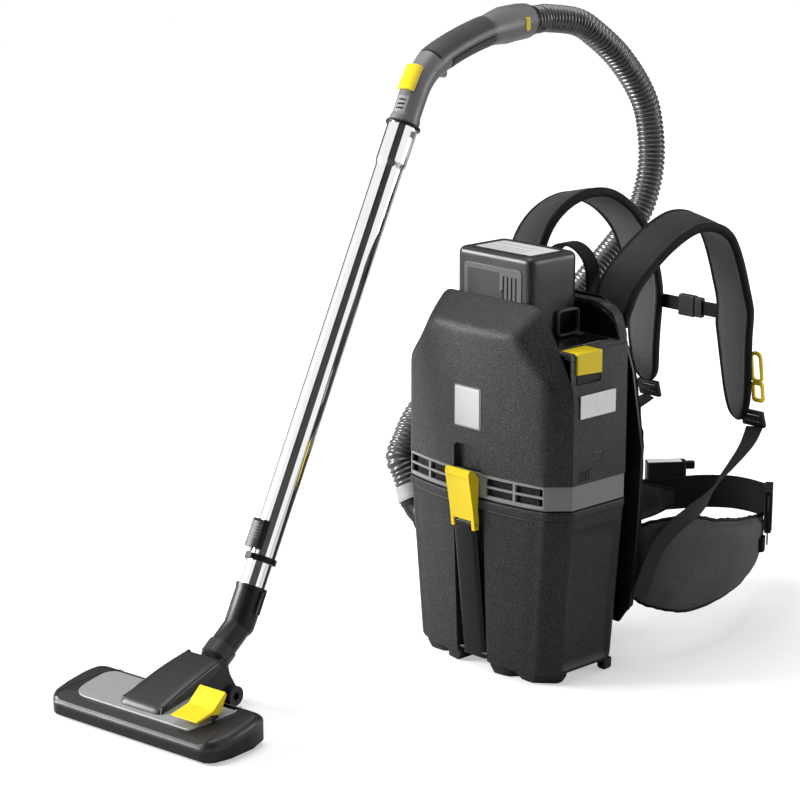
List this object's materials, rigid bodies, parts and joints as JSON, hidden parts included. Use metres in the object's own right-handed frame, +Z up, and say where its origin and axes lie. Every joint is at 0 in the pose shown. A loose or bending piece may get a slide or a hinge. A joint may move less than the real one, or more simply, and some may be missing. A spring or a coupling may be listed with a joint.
{
  "type": "backpack vacuum cleaner",
  "caption": "Battery backpack vacuum with container, lift-off power head, padded harness, ribbed hose, telescopic wand and floor tool.",
  "frame": {"origin": "on the floor under the middle of the container's foot ring", "axes": "+Z up, -Y the pack's front, +Y the wearer's side, +X the pack's side with the battery button"},
  "size_m": [0.4417, 1.0952, 0.8397],
  "materials": {
    "housing_plastic": "coarse grained moulded plastic",
    "dark_plastic": "fine grained black plastic",
    "band_plastic": "light grey moulded plastic",
    "handle_plastic": "grey moulded plastic",
    "insert_rubber": "soft-touch grip",
    "yellow_plastic": "bright yellow moulded plastic",
    "green_plastic": "green moulded plastic",
    "seal_rubber": "black seal",
    "closing_strap_plastic": "black semi-gloss strap",
    "battery_plastic": "dark grey moulded plastic",
    "lens_gloss": "smoked window",
    "hose_plastic": "ribbed hose, satin",
    "tube_chrome": "chromed steel tube",
    "trim_silver": "silver lacquered trim",
    "pin_steel": "plain steel",
    "fan_plastic": "fan with steel shaft",
    "stator_copper": "wound copper on laminations",
    "board_green": "circuit board",
    "bag_fleece": "filter fleece",
    "strap_cloth": "woven polyester over foam",
    "pad_mesh": "black spacer mesh over foam",
    "belt_cloth": "woven polyester over foam",
    "webbing": "polyester webbing",
    "bristle": "black bristles"
  },
  "bodies": {
    "root": {"dust_container": "housing_plastic", "container_seal": "seal_rubber", "filter_bag": "bag_fleece", "inlet_elbow": "dark_plastic", "suction_hose": "hose_plastic", "hose_cuff": "band_plastic", "swivel_cuff": "dark_plastic", "back_plate": "dark_plastic", "back_pad": "pad_mesh", "left_shoulder_strap": "strap_cloth", "right_shoulder_strap": "strap_cloth", "haul_loop": "webbing", "strap_webbing": "webbing", "ladder_locks": "dark_plastic", "strap_hook": "yellow_plastic", "sternum_strap": "webbing", "sternum_socket": "dark_plastic", "left_hip_wing": "belt_cloth", "right_hip_wing": "belt_cloth", "hip_webbing": "webbing", "hip_socket": "dark_plastic", "control_case": "dark_plastic"},
    "power_head": {"head_base": "dark_plastic", "vent_band": "band_plastic", "main_housing": "housing_plastic", "front_cover": "housing_plastic", "motor_casing": "dark_plastic", "motor_stator": "stator_copper", "motor_bearings": "pin_steel", "control_board": "board_green", "battery_terminals": "dark_plastic", "status_lens": "lens_gloss", "housing_screws": "pin_steel", "filter_basket": "dark_plastic"},
    "closing_strap": {"closure_strap": "closing_strap_plastic"},
    "latch": {"front_latch": "yellow_plastic", "latch_pin": "pin_steel"},
    "fan": {"fan_rotor": "fan_plastic"},
    "battery": {"battery_case": "battery_plastic"},
    "battery_release": {"battery_button": "yellow_plastic"},
    "power_button": {"power_key": "yellow_plastic"},
    "eco_button": {"eco_key": "green_plastic"},
    "chest_clip": {"sternum_clip": "dark_plastic"},
    "belt_clip": {"hip_clip": "dark_plastic"},
    "wand": {"wand_handle": "handle_plastic", "handle_inserts": "insert_rubber", "outer_tube": "tube_chrome", "tube_ring": "dark_plastic"},
    "air_slider": {"bypass_slider": "yellow_plastic"},
    "hose_release": {"hose_button": "yellow_plastic"},
    "tube_catch": {"tube_release": "handle_plastic"},
    "lower_wand": {"inner_tube": "tube_chrome", "neck_elbow": "dark_plastic"},
    "knuckle": {"neck_knuckle": "dark_plastic"},
    "floor_tool": {"joint_housing": "dark_plastic", "head_shell": "dark_plastic", "head_trim": "trim_silver", "head_sole": "dark_plastic"},
    "foot_pedal": {"pedal": "yellow_plastic"},
    "brushes": {"bristle_strips": "bristle"}
  },
  "joints": [
    {"name": "head_lift", "type": "slide", "parent": "root", "child": "power_head", "axis": [0, 0, 1], "range_m": [0, 0.2]},
    {"name": "strap_swing", "type": "hinge", "parent": "root", "child": "closing_strap", "pos_m": [0, -0.07165, 0.024], "axis": [1, 0, 0], "range_deg": [0, 35]},
    {"name": "latch_swing", "type": "hinge", "parent": "closing_strap", "child": "latch", "pos_m": [0, -0.09115, 0.205], "axis": [1, 0, 0], "range_deg": [0, 100]},
    {"name": "fan_spin", "type": "hinge", "parent": "power_head", "child": "fan", "pos_m": [0, 0.012, 0.3], "axis": [0, 0, 1], "continuous": true},
    {"name": "battery_lift", "type": "slide", "parent": "power_head", "child": "battery", "axis": [0, 0, 1], "range_m": [0, 0.14]},
    {"name": "battery_button_slide", "type": "slide", "parent": "power_head", "child": "battery_release", "axis": [-1, 0, 0], "range_m": [0, 0.004], "stiffness_N_per_m": 400, "springref_m": -0.001},
    {"name": "power_key_press", "type": "slide", "parent": "root", "child": "power_button", "axis": [0.7934, -0.6088, 0], "range_m": [0, 0.002], "stiffness_N_per_m": 400, "springref_m": -0.0005},
    {"name": "eco_key_press", "type": "slide", "parent": "root", "child": "eco_button", "axis": [0.7934, -0.6088, 0], "range_m": [0, 0.002], "stiffness_N_per_m": 400, "springref_m": -0.0005},
    {"name": "sternum_clip_pull", "type": "slide", "parent": "root", "child": "chest_clip", "axis": [1, 0, 0], "range_m": [0, 0.015]},
    {"name": "hip_clip_pull", "type": "slide", "parent": "root", "child": "belt_clip", "axis": [0.6136, -0.7896, 0], "range_m": [0, 0.015]},
    {"name": "handle_swivel", "type": "hinge", "parent": "root", "child": "wand", "pos_m": [-0.22731, 0.25454, 0.81462], "axis": [-0.1426, 0.9898, 0], "continuous": true},
    {"name": "air_slide", "type": "slide", "parent": "wand", "child": "air_slider", "axis": [0.0803, -0.5572, -0.8265], "range_m": [0, 0.018]},
    {"name": "hose_button_press", "type": "slide", "parent": "wand", "child": "hose_release", "axis": [-0.9898, -0.1426, 0], "range_m": [0, 0.003], "stiffness_N_per_m": 400, "springref_m": -0.0005},
    {"name": "tube_catch_slide", "type": "slide", "parent": "wand", "child": "tube_catch", "axis": [-0.0691, 0.4799, 0.8746], "range_m": [0, 0.006], "stiffness_N_per_m": 400, "springref_m": -0.001},
    {"name": "tube_extend", "type": "slide", "parent": "wand", "child": "lower_wand", "axis": [0.0691, -0.4799, -0.8746], "range_m": [0, 0.4]},
    {"name": "neck_swivel", "type": "hinge", "parent": "lower_wand", "child": "knuckle", "pos_m": [-0.13913, -0.35736, 0.09427], "axis": [0.1168, -0.8108, -0.5736], "range_deg": [-90, 90]},
    {"name": "neck_tilt", "type": "hinge", "parent": "knuckle", "child": "floor_tool", "pos_m": [-0.13204, -0.40662, 0.019], "axis": [0.9898, 0.1426, 0], "range_deg": [-10, 30]},
    {"name": "pedal_rock", "type": "hinge", "parent": "floor_tool", "child": "foot_pedal", "pos_m": [-0.11663, -0.51351, 0.044], "axis": [0.9898, 0.1426, 0], "range_deg": [0, 8]},
    {"name": "brush_drop", "type": "slide", "parent": "floor_tool", "child": "brushes", "axis": [0, 0, -1], "range_m": [0, 0.006]}
  ],
  "couplings": [
    {"joint": "brush_drop", "follows": "pedal_rock", "m_per_rad": 0.042972}
  ]
}
